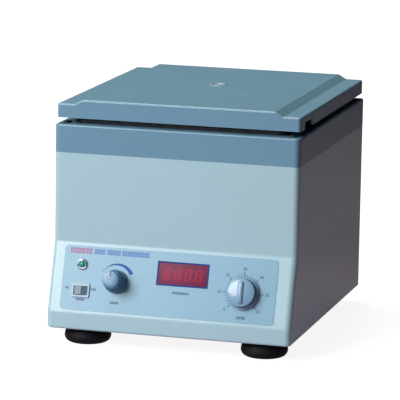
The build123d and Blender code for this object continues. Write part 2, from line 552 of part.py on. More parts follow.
ROCKER_UP = -0.5              # the rocker's pivot stands this far out of the panel
ROCKER_TURN = 24.0            # degrees between ON and OFF
frame_top = 2.4
switch = Pos(0, 0, (FILM + frame_top) / 2) * Box(22, 17, frame_top - FILM)
switch = fillet(switch.edges().filter_by(Axis.Z), 1.2)
switch = chamfer(switch.edges().group_by(Axis.Z)[-1], 0.6)
switch += Pos(0, 0, -8.3) * Box(SWITCH_CUT[0], SWITCH_CUT[1], 18.4)
switch -= Pos(0, 0, -2) * Box(17.4, 10.8, 13)
switch -= Pos(0, 0, ROCKER_UP) * Rot(90, 0, 0) * Cylinder(1.0 + RUN, 12.2)
for dx in (-6, 0, 6):
    switch += Pos(dx, 0, -21) * Box(0.8, 6.3, 8)
save("power_switch", on_panel(*SWITCH_AT, switch))
crown = make_face(Polyline((-9, 0, 3.5), (0, 0, 5.4), (9, 0, 3.5), (9, 0, -3), (-9, 0, -3), close=True))
rocker = extrude(crown, 5.2, dir=(0, 1, 0), both=True)
rocker &= Rot(90, 0, 0) * Cylinder(8.3, 20)
rocker += Rot(90, 0, 0) * Cylinder(1.0, 12.0)
rocker = Pos(0, 0, ROCKER_UP) * Rot(0, ROCKER_TURN / 2, 0) * rocker
save("power_rocker", on_panel(*SWITCH_AT, rocker))


def knob_nut(bush, across):
    """Thin hexagon nut that clamps a threaded bush on the overlay."""
    hexagon = extrude(RegularPolygon(across / 2, 6, major_radius=False), 2.0)
    return Pos(0, 0, FILM) * (hexagon - Cylinder(bush + SEAT, 10))


pot = Pos(0, 0, -10) * Cylinder(12, 12) + Pos(0, 0, -2.75) * Cylinder(6, 2.5)
pot += Pos(0, 0, -0.5) * Cylinder(SPEED_BUSH, 7.0)
pot -= Pos(0, 0, 2) * Cylinder(3 + RUN, 20)
save("speed_potentiometer", on_panel(*SPEED_AT, pot))
movement = Pos(0, 0, -18) * Cylinder(24, 30) + Pos(0, 0, -2.25) * Cylinder(9, 1.5)
movement += Cylinder(TIMER_BUSH, 6.4)
movement -= Cylinder(3 + RUN, 30)
save("timer_movement", on_panel(*TIMER_AT, movement))
save("knob_nuts", on_panel(*SPEED_AT, knob_nut(SPEED_BUSH, 11)),
     on_panel(*TIMER_AT, knob_nut(TIMER_BUSH, 14)))

KNOB_GAP = 1.0                # knobs stand clear of the overlay by this much
speed_knob = turned([(0, 20), (0, 25), (8.0, 25), (9.0, 24), (12.2, 8), (13.4, 5.6), (14.3, 4.6),
                     (14.3, KNOB_GAP), (9, KNOB_GAP), (9, 6.5), (3, 6.5), (3, -7), (0, -7)])
for index in range(20):
    flute = Rot(0, 0, 18 * index) * Pos(11.6, 0, 15.5) * Rot(0, -11.3, 0) * Cylinder(0.9, 17)
    speed_knob -= flute
save("speed_knob", on_panel(*SPEED_AT, speed_knob))

timer_knob = turned([(0, 13.5), (13, 12.6), (15.6, 11.6), (16.5, 10), (16.5, 5), (20, 3.6),
                     (20, KNOB_GAP), (12, KNOB_GAP), (12, 6), (3, 6), (3, -13), (0, -13)])
grip = Pos(0, 0, 13) * Box(7, 29, 8)
grip = fillet(grip.edges().group_by(Axis.Z)[-1], 2.5)
grip &= Pos(0, 0, 10) * Cylinder(15.2, 20)
timer_knob += grip
save("timer_knob", on_panel(*TIMER_AT, timer_knob))

# ---- electronics --------------------------------------------------------------------------
BOARD_Z = 36.0
board = block(-60, 50, -160, -98, BOARD_Z, BOARD_Z + 1.6)
for x, y in [(x, y) for x in (-56, 46) for y in (-156, -102)]:
    board -= cyl(1.7, BOARD_Z - 1, BOARD_Z + 3, x, y)
board += block(-48, -28, -150, -134, BOARD_Z + 1, BOARD_Z + 17)
board += block(12, 36, -150, -140, BOARD_Z + 1, BOARD_Z + 13)
for x in (-40, -20, 0):
    board += cyl(6.5, BOARD_Z + 1, BOARD_Z + 20, x, -112)
board += block(14, 40, -124, -106, BOARD_Z + 1, BOARD_Z + 6)
save("main_board", board)
save("board_standoffs", *[ring(3, 1.6, PLATE_TOP, BOARD_Z, x, y)
                          for x in (-56, 46) for y in (-156, -102)])
transformer = block(94, 134, 112, 152, PLATE_TOP, PLATE_TOP + 48)
transformer += block(99, 129, 106, 158, PLATE_TOP + 9, PLATE_TOP + 39)
save("transformer", transformer)
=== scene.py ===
import bmesh
import bpy
import json
import math
from mathutils import Matrix, Vector


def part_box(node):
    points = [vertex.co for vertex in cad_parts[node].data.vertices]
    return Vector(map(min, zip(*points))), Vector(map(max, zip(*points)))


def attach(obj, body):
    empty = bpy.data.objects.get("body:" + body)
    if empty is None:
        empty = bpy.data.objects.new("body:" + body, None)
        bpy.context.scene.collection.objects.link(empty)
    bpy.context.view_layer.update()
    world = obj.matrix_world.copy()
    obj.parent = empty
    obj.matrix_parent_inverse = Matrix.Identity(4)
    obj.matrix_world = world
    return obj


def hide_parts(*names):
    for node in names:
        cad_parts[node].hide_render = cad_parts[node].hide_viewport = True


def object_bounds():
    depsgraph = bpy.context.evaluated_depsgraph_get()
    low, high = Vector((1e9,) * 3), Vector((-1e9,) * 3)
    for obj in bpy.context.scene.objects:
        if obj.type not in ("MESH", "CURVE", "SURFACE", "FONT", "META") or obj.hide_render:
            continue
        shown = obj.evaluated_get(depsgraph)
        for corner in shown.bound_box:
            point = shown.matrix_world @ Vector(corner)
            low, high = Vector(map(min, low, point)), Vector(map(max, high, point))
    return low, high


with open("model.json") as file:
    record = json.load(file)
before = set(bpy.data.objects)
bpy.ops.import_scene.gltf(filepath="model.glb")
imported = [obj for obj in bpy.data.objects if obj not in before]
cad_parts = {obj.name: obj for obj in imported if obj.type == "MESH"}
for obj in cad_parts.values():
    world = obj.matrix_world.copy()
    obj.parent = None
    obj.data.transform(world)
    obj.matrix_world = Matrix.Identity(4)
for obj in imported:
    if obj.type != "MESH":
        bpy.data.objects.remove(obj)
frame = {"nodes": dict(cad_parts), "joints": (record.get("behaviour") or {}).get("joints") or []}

cad_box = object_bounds()
joints = {joint["name"]: joint for joint in frame["joints"]}

# ---- Base plate, corner posts and motor plate ------------------------------------------------
# Zinc-plated steel sheet and bar, pressed and drilled, left as it comes from the plating bath:
# a cold grey with cloudy spangle and bright rubbed edges.


def paint(red, green, blue):
    """Linear colour from the 0-255 values of a paint chart."""
    def linear(value):
        value /= 255
        return value / 12.92 if value <= 0.04045 else ((value + 0.055) / 1.055) ** 2.4
    return (linear(red), linear(green), linear(blue), 1.0)


def effect_group(name, inputs, outputs):
    """Empty shader node group with named sockets; returns the tree, its input and output nodes."""
    tree = bpy.data.node_groups.new(name, "ShaderNodeTree")
    for label, kind, value in inputs:
        socket = tree.interface.new_socket(label, in_out="INPUT", socket_type=kind)
        if value is not None:
            socket.default_value = value
    for label, kind in outputs:
        tree.interface.new_socket(label, in_out="OUTPUT", socket_type=kind)
    return tree, tree.nodes.new("NodeGroupInput"), tree.nodes.new("NodeGroupOutput")


def calculate(tree, operation, first, second=None, third=None):
    """Math node with sockets linked and numbers set; returns its output."""
    node = tree.nodes.new("ShaderNodeMath")
    node.operation = operation
    for index, value in enumerate((first, second, third)):
        if isinstance(value, bpy.types.NodeSocket):
            tree.links.new(value, node.inputs[index])
        elif value is not None:
            node.inputs[index].default_value = value
    return node.outputs[0]


def build_tone_drift():
    """Slow unevenness of a colour and of its gloss, as any real coating has."""
    tree, given, result = effect_group(
        "tone_drift",
        [("Place", "NodeSocketVector", None), ("Colour", "NodeSocketColor", (0.5, 0.5, 0.5, 1)),
         ("Amount", "NodeSocketFloat", 0.1), ("Size", "NodeSocketFloat", 0.03),
         ("Roughness", "NodeSocketFloat", 0.4), ("Gloss Spread", "NodeSocketFloat", 0.1)],
        [("Colour", "NodeSocketColor"), ("Roughness", "NodeSocketFloat")])
    cloud = tree.nodes.new("ShaderNodeTexNoise")
    cloud.inputs["Detail"].default_value = 5.0
    cloud.inputs["Roughness"].default_value = 0.6
    tree.links.new(given.outputs["Place"], cloud.inputs["Vector"])
    tree.links.new(calculate(tree, "DIVIDE", 1.0, given.outputs["Size"]), cloud.inputs["Scale"])
    swing = calculate(tree, "SUBTRACT", cloud.outputs["Fac"], 0.5)
    tone = tree.nodes.new("ShaderNodeHueSaturation")
    tree.links.new(given.outputs["Colour"], tone.inputs["Color"])
    shift = calculate(tree, "MULTIPLY_ADD", swing, given.outputs["Amount"], 1.0)
    tree.links.new(shift, tone.inputs["Value"])
    tree.links.new(tone.outputs["Color"], result.inputs["Colour"])
    gloss = calculate(tree, "MULTIPLY_ADD", swing, given.outputs["Gloss Spread"], given.outputs["Roughness"])
    tree.links.new(calculate(tree, "MAXIMUM", gloss, 0.04), result.inputs["Roughness"])
    return tree


def build_worn_edge():
    """Mask of rubbed corners: where the surface turns within a short width, broken up in patches."""
    tree, given, result = effect_group(
        "worn_edge",
        [("Place", "NodeSocketVector", None), ("Width", "NodeSocketFloat", 0.001),
         ("Amount", "NodeSocketFloat", 0.5)],
        [("Mask", "NodeSocketFloat")])
    rounded = tree.nodes.new("ShaderNodeBevel")
    rounded.samples = 4
    tree.links.new(given.outputs["Width"], rounded.inputs["Radius"])
    true_side = tree.nodes.new("ShaderNodeNewGeometry")
    facing = tree.nodes.new("ShaderNodeVectorMath")
    facing.operation = "DOT_PRODUCT"
    tree.links.new(rounded.outputs["Normal"], facing.inputs[0])
    tree.links.new(true_side.outputs["Normal"], facing.inputs[1])
    turn = calculate(tree, "SUBTRACT", 1.0, facing.outputs["Value"])
    edge = calculate(tree, "MULTIPLY", turn, 9.0)
    patches = tree.nodes.new("ShaderNodeTexNoise")
    patches.inputs["Scale"].default_value = 140.0
    patches.inputs["Detail"].default_value = 4.0
    tree.links.new(given.outputs["Place"], patches.inputs["Vector"])
    broken = calculate(tree, "MULTIPLY_ADD", patches.outputs["Fac"], 2.4, -0.8)
    mask = calculate(tree, "MULTIPLY", edge, broken)
    mask = calculate(tree, "MULTIPLY", mask, given.outputs["Amount"])
    node = tree.nodes.new("ShaderNodeClamp")
    tree.links.new(mask, node.inputs["Value"])
    tree.links.new(node.outputs["Result"], result.inputs["Mask"])
    return tree


def build_fine_grain():
    """Height of a fine surface texture: soft pimples under a finer noise."""
    tree, given, result = effect_group(
        "fine_grain",
        [("Place", "NodeSocketVector", None), ("Size", "NodeSocketFloat", 0.001),
         ("Pimples", "NodeSocketFloat", 0.5)],
        [("Height", "NodeSocketFloat")])
    density = calculate(tree, "DIVIDE", 1.0, given.outputs["Size"])
    cells = tree.nodes.new("ShaderNodeTexVoronoi")
    cells.feature = "SMOOTH_F1"
    tree.links.new(given.outputs["Place"], cells.inputs["Vector"])
    tree.links.new(density, cells.inputs["Scale"])
    noise = tree.nodes.new("ShaderNodeTexNoise")
    noise.inputs["Detail"].default_value = 3.0
    tree.links.new(given.outputs["Place"], noise.inputs["Vector"])
    tree.links.new(calculate(tree, "MULTIPLY", density, 1.7), noise.inputs["Scale"])
    pimples = calculate(tree, "MULTIPLY", cells.outputs["Distance"], given.outputs["Pimples"])
    height = calculate(tree, "ADD", pimples, noise.outputs["Fac"])
    tree.links.new(height, result.inputs["Height"])
    return tree


def build_drawn_lines():
    """Height of parallel tool marks: noise stretched along one direction."""
    tree, given, result = effect_group(
        "drawn_lines",
        [("Place", "NodeSocketVector", None), ("Pitch", "NodeSocketFloat", 0.0005),
         ("Along", "NodeSocketVector", (0.02, 1.0, 1.0))],
        [("Height", "NodeSocketFloat")])
    stretch = tree.nodes.new("ShaderNodeVectorMath")
    stretch.operation = "MULTIPLY"
    tree.links.new(given.outputs["Place"], stretch.inputs[0])
    tree.links.new(given.outputs["Along"], stretch.inputs[1])
    noise = tree.nodes.new("ShaderNodeTexNoise")
    noise.inputs["Detail"].default_value = 4.0
    tree.links.new(stretch.outputs["Vector"], noise.inputs["Vector"])
    tree.links.new(calculate(tree, "DIVIDE", 1.0, given.outputs["Pitch"]), noise.inputs["Scale"])
    tree.links.new(noise.outputs["Fac"], result.inputs["Height"])
    return tree


effects = {"tone": build_tone_drift(), "edge": build_worn_edge(),
           "grain": build_fine_grain(), "lines": build_drawn_lines()}


def place_effect(material, kind, place, **values):
    """One effect group in a material, fed with the surface place and its own numbers."""
    nodes, links = material.node_tree.nodes, material.node_tree.links
    node = nodes.new("ShaderNodeGroup")
    node.node_tree = effects[kind]
    links.new(place, node.inputs["Place"])
    for label, value in values.items():
        node.inputs[label.replace("_", " ")].default_value = value
    return node


def coating(name, colour, roughness, drift=0.1, drift_size=0.03, gloss_spread=0.1, metallic=0.0,
            wear=0.0, wear_width=0.0008, wear_colour=None, grain=None, lines=None, soften=0.0004,
            coat=0.0, coat_roughness=0.1, ior=1.5):
    """Material of a coated, moulded or bare surface.

    grain is (size, depth, pimples) and lines is (pitch, depth, along), both in metres; soften is
    the radius of the broken edge that catches the light.
    """
    material = bpy.data.materials.new(name)
    material.use_nodes = True
    nodes, links = material.node_tree.nodes, material.node_tree.links
    surface = nodes["Principled BSDF"]
    surface.inputs["Metallic"].default_value = metallic
    surface.inputs["IOR"].default_value = ior
    surface.inputs["Coat Weight"].default_value = coat
    surface.inputs["Coat Roughness"].default_value = coat_roughness
    place = nodes.new("ShaderNodeTexCoord").outputs["Object"]
    tone = place_effect(material, "tone", place, Colour=colour, Amount=drift, Size=drift_size,
                        Roughness=roughness, Gloss_Spread=gloss_spread)
    links.new(tone.outputs["Roughness"], surface.inputs["Roughness"])
    shade = tone.outputs["Colour"]
    if wear:
        edge = place_effect(material, "edge", place, Width=wear_width, Amount=wear)
        mix = nodes.new("ShaderNodeMix")
        mix.data_type = "RGBA"
        links.new(edge.outputs["Mask"], mix.inputs["Factor"])
        links.new(shade, mix.inputs["A"])
        mix.inputs["B"].default_value = wear_colour or tuple(min(1.0, c * 1.6) for c in colour[:3]) + (1,)
        shade = mix.outputs["Result"]
    links.new(shade, surface.inputs["Base Color"])
    normal = None
    if soften:
        broken = nodes.new("ShaderNodeBevel")
        broken.samples = 4
        broken.inputs["Radius"].default_value = soften
        normal = broken.outputs["Normal"]
    for kind, setting in (("grain", grain), ("lines", lines)):
        if not setting:
            continue
        size, depth, third = setting
        if kind == "grain":
            height = place_effect(material, kind, place, Size=size, Pimples=third)
        else:
            height = place_effect(material, kind, place, Pitch=size, Along=third)
        bump = nodes.new("ShaderNodeBump")
        bump.inputs["Distance"].default_value = depth
        bump.inputs["Strength"].default_value = 1.0
        links.new(height.outputs["Height"], bump.inputs["Height"])
        if normal:
            links.new(normal, bump.inputs["Normal"])
        normal = bump.outputs["Normal"]
    if normal:
        links.new(normal, surface.inputs["Normal"])
    return material


def tune(material, **values):
    """Set further constants of a material's surface."""
    for label, value in values.items():
        material.node_tree.nodes["Principled BSDF"].inputs[label.replace("_", " ")].default_value = value


def give(material, *nodes):
    """Put one material on CAD nodes."""
    for node in nodes:
        for entry in frame["nodes"][node].material_slots:
            entry.material = material


zinc = coating("zinc_plate", paint(158, 162, 164), 0.38, drift=0.35, drift_size=0.012,
               metallic=1.0, wear=0.5, grain=(0.0012, 0.00002, 0.3))
give(zinc, "base_plate", "chassis_posts", "motor_mount_plate", "speed_potentiometer",
     "timer_movement")

# ---- Rubber feet and dampers -----------------------------------------------------------------
# Four black suction feet, each moulded in one piece with a flared skirt and a hollow under it,
# held by a screw from below.  The same compound makes the seals, boot and motor dampers.
rubber = coating("black_rubber", paint(19, 18, 23), 0.6, drift=0.5, drift_size=0.008,
                 gloss_spread=0.25, wear=0.25, wear_colour=paint(48, 48, 54),
                 grain=(0.0007, 0.00006, 0.6))
tune(rubber, Specular_IOR_Level=0.2)
give(rubber, "rubber_feet", "damper_mounts", "shaft_boot", "chamber_gasket", "lid_seal")

# ---- Screws and nuts --------------------------------------------------------------------------
# Rolled steel screws with pan heads and cross slots, bright zinc plated, and the two thin
# hexagon nuts behind the knobs.
bright_steel = coating("bright_plated_steel", paint(176, 178, 180), 0.28, drift=0.3,
                       drift_size=0.002, metallic=1.0, wear=0.4, grain=(0.0006, 0.00002, 0.2))
give(bright_steel, "base_screws", "foot_screws", "rear_screws", "motor_bolts", "knob_nuts")
black_oxide = coating("black_oxide_steel", paint(44, 46, 52), 0.42, drift=0.3,
                      drift_size=0.002, metallic=0.7, wear=0.4, grain=(0.0006, 0.00002, 0.2))
give(black_oxide, "collar_screws")

# ---- Motor, bearings and shaft ----------------------------------------------------------------
# A rolled steel can in black enamel between two die-cast caps, with a laminated stator and
# armature inside, ground bearings and a ground shaft.
motor_enamel = coating("motor_enamel", paint(34, 35, 38), 0.35, wear=0.5,
                       wear_colour=paint(120, 120, 122), grain=(0.0015, 0.00003, 0.2))
give(motor_enamel, "motor_can")
cast_alloy = coating("die_cast_alloy", paint(150, 151, 154), 0.5, drift=0.3, metallic=1.0,
                     wear=0.4, grain=(0.0014, 0.00008, 0.8))
give(cast_alloy, "motor_lower_cap", "motor_upper_cap")
laminations = coating("varnished_laminations", paint(74, 62, 54), 0.45, drift=0.4,
                      drift_size=0.004, metallic=0.6, lines=(0.0007, 0.0001, (0.03, 0.03, 1.0)))
give(laminations, "motor_stator", "motor_armature", "transformer", "latch_solenoid")
ground_steel = coating("ground_steel", paint(196, 198, 200), 0.18, drift=0.15, metallic=1.0,
                       wear=0.3, lines=(0.0003, 0.00001, (0.2, 0.2, 1.0)))
give(ground_steel, "lower_bearing", "upper_bearing", "drive_shaft", "hinge_pins", "latch_bolt")

# ---- Black mouldings --------------------------------------------------------------------------
# Glass-filled nylon and ABS parts: the lid's liner, the inlet, the fuse holder and its cap, the
# fan and the sensor, all with a fine spark-eroded grain.
black_moulding = coating("black_moulding", paint(34, 31, 38), 0.48, drift=0.25, wear=0.35,
                         wear_colour=paint(84, 82, 88), grain=(0.0006, 0.00005, 0.8))
give(black_moulding, "lid_liner", "inlet_socket", "fuse_holder", "fuse_cap", "cooling_fan",
     "speed_sensor", "display_module")

# ---- Electronics ------------------------------------------------------------------------------
# The speed-control board on brass standoffs, and the finned heat sink of its power stage.
solder_resist = coating("solder_resist", paint(24, 82, 50), 0.35, drift=0.3,
                        drift_size=0.006, grain=(0.0012, 0.00005, 0.6))
give(solder_resist, "main_board")
brass = coating("bare_brass", paint(190, 156, 88), 0.3, drift=0.3, metallic=1.0, wear=0.3,
                lines=(0.0004, 0.00001, (1.0, 1.0, 0.1)))
give(brass, "board_standoffs", "inlet_pins")
black_anodised = coating("black_anodised", paint(40, 41, 44), 0.42, metallic=0.8, wear=0.5,
                         lines=(0.0006, 0.00002, (1.0, 1.0, 0.03)))
give(black_anodised, "heat_sink")

# ---- Housing shell and rear panel -------------------------------------------------------------
# One sheet of steel folded round the front and both sides, with the sloped control panel
# pressed into it, and a flat rear panel: glossy pale blue-grey stove enamel with a faint
# orange peel.
enamel = coating("housing_enamel", paint(166, 199, 210), 0.26, drift=0.05, drift_size=0.06,
                 gloss_spread=0.08, wear=0.12, wear_width=0.0009,
                 wear_colour=paint(206, 226, 232), grain=(0.0022, 0.000018, 0.1), soften=0.0006)
give(enamel, "housing_shell", "rear_panel")

# ---- Collar and lid shell ---------------------------------------------------------------------
# Two thick mouldings in a darker blue-grey with a polished surface, their edges rounded in the
# mould.
blue_moulding = coating("blue_grey_moulding", paint(106, 146, 170), 0.3, drift=0.06,
                        drift_size=0.05, gloss_spread=0.1, wear=0.3,
                        wear_colour=paint(160, 192, 208), grain=(0.0012, 0.000016, 0.3))
give(blue_moulding, "top_collar", "lid_shell")

# ---- Chamber bowl, guard barrel and hinges ----------------------------------------------------
# The bowl is spun from stainless sheet, so its tool marks run round the axis; the guard is a
# thick rolled tube in grey primer.
stainless = coating("spun_stainless", paint(186, 188, 190), 0.25, drift=0.2, metallic=1.0,
                    wear=0.3, lines=(0.0009, 0.00002, (0.05, 0.05, 1.0)))
give(stainless, "chamber_bowl", "hinge_lugs", "hinge_brackets", "lid_striker")
primer = coating("grey_primer", paint(104, 108, 112), 0.6, drift=0.2, wear=0.4,
                 grain=(0.001, 0.00005, 0.6))
give(primer, "guard_barrel")

# ---- Rotor and its nut ------------------------------------------------------------------------
# Turned from one billet of aluminium and clear anodised, so faint turning rings stay visible.
rotor_alloy = coating("turned_alloy", paint(182, 186, 192), 0.3, drift=0.12, metallic=1.0,
                      wear=0.4, lines=(0.0011, 0.00002, (0.04, 0.04, 1.0)))
give(rotor_alloy, "angle_rotor", "rotor_nut")

# ---- Sight port -------------------------------------------------------------------------------
# A bright ring pressed into the middle of the lid round a clear polycarbonate window, whose pale
# tone is a painted reflection.
bright_trim = coating("bright_trim", paint(216, 220, 224), 0.2, drift=0.08, metallic=1.0,
                      wear=0.2)
give(bright_trim, "lamp_bezel")
port_ring = coating("port_ring", paint(126, 154, 172), 0.28, drift=0.1, wear=0.3)
give(port_ring, "sight_ring")
# Painted reflection: the clear window gets a pale blue-grey colour so that it looks as if it mirrors the
# room.
window_painted_reflection = coating("polycarbonate_painted_reflection", paint(176, 194, 202), 0.12, drift=0.04, ior=1.58)
tune(window_painted_reflection, Transmission_Weight=0.45)
give(window_painted_reflection, "sight_window")

# ---- Control overlay --------------------------------------------------------------------------
# A printed polyester film with rounded corners, glued on the slope.  Its print lies on it in thin
# layers of ink: a heading, a tapering speed mark, the minutes dial and small signs.
film = coating("printed_film", paint(119, 166, 191), 0.3, drift=0.04, drift_size=0.04,
               grain=(0.0008, 0.00001, 0.5))
give(film, "control_overlay")
MM = 0.001
FILM = 0.4                  # thickness of the film
INK = 0.05                  # the ink stands this far out of the film


def face_on(joint):
    """Frame of a control on the slope: X to the right, Y up the slope, Z out of the panel."""
    out = -Vector(joints[joint]["axis"]).normalized()
    right = Vector((1, 0, 0))
    up = out.cross(right)
    turn = Matrix((right, up, out)).transposed().to_4x4()
    return Matrix.Translation(Vector(joints[joint]["pos_m"])) @ turn


def at_centre_of(node):
    """Frame with the slope's axes in the middle of a flat part of the panel, level with the shell."""
    low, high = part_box(node)
    frame_here = face_on("speed_knob_turn")
    middle = frame_here.inverted() @ ((Vector(low) + Vector(high)) / 2)
    middle.z = 0
    return frame_here @ Matrix.Translation(middle)


def prisms(outlines, low, high):
    """Mesh of flat shapes given by their outlines, counter-clockwise, between two heights."""
    shape = bmesh.new()
    for outline in outlines:
        ground = [shape.verts.new((x, y, low)) for x, y in outline]
        roof = [shape.verts.new((x, y, high)) for x, y in outline]
        shape.faces.new(list(reversed(ground)))
        shape.faces.new(roof)
        for here, there in zip(range(len(outline)), list(range(1, len(outline))) + [0]):
            shape.faces.new((ground[here], ground[there], roof[there], roof[here]))
    mesh = bpy.data.meshes.new("prisms")
    shape.to_mesh(mesh)
    shape.free()
    return mesh


def settle(name, mesh, place, body, material=None, smooth_below=0.0):
    """Finished piece from a mesh in millimetres: moved into place, shaded, and riding its body."""
    mesh.transform(place @ Matrix.Scale(MM, 4))
    shape = bmesh.new()
    shape.from_mesh(mesh)
    bmesh.ops.recalc_face_normals(shape, faces=shape.faces)
    shape.to_mesh(mesh)
    shape.free()
    if smooth_below:
        mesh.shade_smooth()
        mesh.set_sharp_from_angle(angle=smooth_below)
    if material:
        mesh.materials.clear()
        mesh.materials.append(material)
    piece = bpy.data.objects.new(name, mesh)
    bpy.context.scene.collection.objects.link(piece)
    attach(piece, body)
    return piece


def joined(meshes):
    """One mesh from several."""
    shape = bmesh.new()
    for mesh in meshes:
        shape.from_mesh(mesh)
    whole = bpy.data.meshes.new("joined")
    shape.to_mesh(whole)
    shape.free()
    return whole


def ink(name, colour):
    """Screen-printing ink: nearly matt, with the weave of the screen."""
    material = coating(name, paint(*colour), 0.5, drift=0.12, drift_size=0.004, soften=0,
                       wear=0.1, wear_width=0.0002, grain=(0.0005, 0.000006, 0.6))
    tune(material, Specular_IOR_Level=0.15)
    return material


def repeating_tree(name, *sizes):
    """Start of a geometry tree for copies of a mark: tree, sockets, input node, points, index."""
    tree = bpy.data.node_groups.new(name, "GeometryNodeTree")
    tree.is_modifier = True
    inputs = [("Geometry", "NodeSocketGeometry"), ("Mark", "NodeSocketObject"), ("Count", "NodeSocketInt")]
    inputs += [(label, "NodeSocketFloat") for label in sizes] + [("Material", "NodeSocketMaterial")]
    sockets = {label: tree.interface.new_socket(label, in_out="INPUT", socket_type=kind).identifier
               for label, kind in inputs}
    tree.interface.new_socket("Geometry", in_out="OUTPUT", socket_type="NodeSocketGeometry")
    given = tree.nodes.new("NodeGroupInput")
    points = tree.nodes.new("GeometryNodePoints")
    tree.links.new(given.outputs["Count"], points.inputs["Count"])
    return tree, sockets, given, points, tree.nodes.new("GeometryNodeInputIndex").outputs[0]


def place_copies(tree, given, points, x, y=None, angle=None):
    """End of such a tree: points moved to x and y, a turned copy on each, made real and painted."""
    spot = tree.nodes.new("ShaderNodeCombineXYZ")
    turn = tree.nodes.new("ShaderNodeCombineXYZ")
    for value, socket in ((x, spot.inputs["X"]), (y, spot.inputs["Y"]), (angle, turn.inputs["Z"])):
        if value is not None:
            tree.links.new(value, socket)
    move = tree.nodes.new("GeometryNodeSetPosition")
    tree.links.new(points.outputs[0], move.inputs["Geometry"])
    tree.links.new(spot.outputs[0], move.inputs["Position"])
    mark = tree.nodes.new("GeometryNodeObjectInfo")
    tree.links.new(given.outputs["Mark"], mark.inputs["Object"])
    copies = tree.nodes.new("GeometryNodeInstanceOnPoints")
    tree.links.new(move.outputs[0], copies.inputs["Points"])
    tree.links.new(mark.outputs["Geometry"], copies.inputs["Instance"])
    tree.links.new(turn.outputs[0], copies.inputs["Rotation"])
    real = tree.nodes.new("GeometryNodeRealizeInstances")
    tree.links.new(copies.outputs[0], real.inputs[0])
    painted = tree.nodes.new("GeometryNodeSetMaterial")
    tree.links.new(real.outputs[0], painted.inputs["Geometry"])
    tree.links.new(given.outputs["Material"], painted.inputs["Material"])
    result = tree.nodes.new("NodeGroupOutput")
    tree.links.new(painted.outputs[0], result.inputs["Geometry"])


def build_ring_of():
    """Geometry nodes that set copies of a mark round an arc, each turned to face outwards."""
    tree, sockets, given, points, index = repeating_tree("ring_of", "Radius", "Start", "Step")
    angle = calculate(tree, "MULTIPLY_ADD", index, given.outputs["Step"], given.outputs["Start"])
    x, y = (calculate(tree, "MULTIPLY", calculate(tree, kind, angle), given.outputs["Radius"])
            for kind in ("COSINE", "SINE"))
    place_copies(tree, given, points, x, y, angle)
    return tree, sockets


def repeated(kit, mark_mesh, **values):
    """Plain mesh made by one of the repeating trees from a mark."""
    tree, sockets = kit
    mark = bpy.data.objects.new("mark", mark_mesh)
    carrier = bpy.data.objects.new("carrier", bpy.data.meshes.new("carrier"))
    for helper in (mark, carrier):
        bpy.context.scene.collection.objects.link(helper)
    modifier = carrier.modifiers.new("repeat", "NODES")
    modifier.node_group = tree
    modifier[sockets["Mark"]] = mark
    for label, value in values.items():
        modifier[sockets[label]] = value
    bpy.context.view_layer.update()
    graph = bpy.context.evaluated_depsgraph_get()
    mesh = bpy.data.meshes.new_from_object(carrier.evaluated_get(graph), depsgraph=graph)
    carrier.modifiers.remove(modifier)
    for helper in (carrier, mark):
        bpy.data.objects.remove(helper)
    return mesh


ring_of = build_ring_of()
low_ink, high_ink = FILM - 0.02, FILM + INK
grey_blue_ink = ink("grey_blue_ink", (34, 54, 96))


def slab(x0, x1, y0, y1):
    return [(x0, y0), (x1, y0), (x1, y1), (x0, y1)]


DIAL = face_on("timer_knob_turn")
DIAL_START = math.radians(225)      # zero minutes, at half past seven on a clock face
DIAL_SWEEP = math.radians(270)      # up to sixty minutes
TENS = 6                            # a long stroke and a number every ten minutes
PAIRS = 30                          # a short stroke every two minutes
TICK_RING, TENS_RING = 21.5, 22.6   # radii on which the two kinds of stroke are centred
short_stroke = prisms([slab(-1.3, 1.3, -0.26, 0.26)], low_ink, high_ink)
long_stroke = prisms([slab(-2.3, 2.3, -0.42, 0.42)], low_ink, high_ink + 0.01)
minor = repeated(ring_of, short_stroke, Count=PAIRS + 1, Radius=TICK_RING, Start=DIAL_START,
                 Step=-DIAL_SWEEP / PAIRS, Material=grey_blue_ink)
major = repeated(ring_of, long_stroke, Count=TENS + 1, Radius=TENS_RING, Start=DIAL_START,
                 Step=-DIAL_SWEEP / TENS, Material=grey_blue_ink)


def figures(text, x, y, size):
    """Printed figures, centred on a point, as a mesh."""
    curve = bpy.data.curves.new("figures", "FONT")
    curve.body, curve.size, curve.extrude = text, size, INK / 2
    curve.align_x, curve.align_y = "CENTER", "CENTER"
    curve.resolution_u = 3
    holder = bpy.data.objects.new("figures", curve)
    bpy.context.scene.collection.objects.link(holder)
    bpy.context.view_layer.update()
    graph = bpy.context.evaluated_depsgraph_get()
    mesh = bpy.data.meshes.new_from_object(holder.evaluated_get(graph), depsgraph=graph)
    bpy.data.objects.remove(holder)
    mesh.transform(Matrix.Translation((x, y, FILM + INK / 2)))
    return mesh


NUMBER_RING = (29.3, 28.6)          # the numbers stand on a slightly flattened ring
NUMBER_SIZE = 5.2
numbers = []
for step in range(TENS + 1):
    angle = DIAL_START - DIAL_SWEEP * step / TENS
    x, y = NUMBER_RING[0] * math.cos(angle), NUMBER_RING[1] * math.sin(angle)
    numbers.append(figures(str(step * 10), x, y, NUMBER_SIZE))
settle("minutes_dial", joined([minor, major] + numbers), DIAL, "chassis", grey_blue_ink)

SPEED = face_on("speed_knob_turn")
blue_ink = ink("deep_blue_ink", (38, 92, 166))
MARK_RING = 20.6                    # the speed mark follows this radius and widens clockwise
MARK_START, MARK_SWEEP = 150, 122   # degrees
MARK_STEPS = 40
outer, inner = [], []
for step in range(MARK_STEPS + 1):
    share = step / MARK_STEPS
    angle = math.radians(MARK_START - share * MARK_SWEEP)
    half_wide = 0.15 + 2.2 * share ** 1.2
    for side, edge in ((1, outer), (-1, inner)):
        radius = MARK_RING + side * half_wide
        edge.append((radius * math.cos(angle), radius * math.sin(angle)))
settle("speed_mark", prisms([inner + outer[::-1]], low_ink, high_ink), SPEED, "chassis",
       blue_ink)

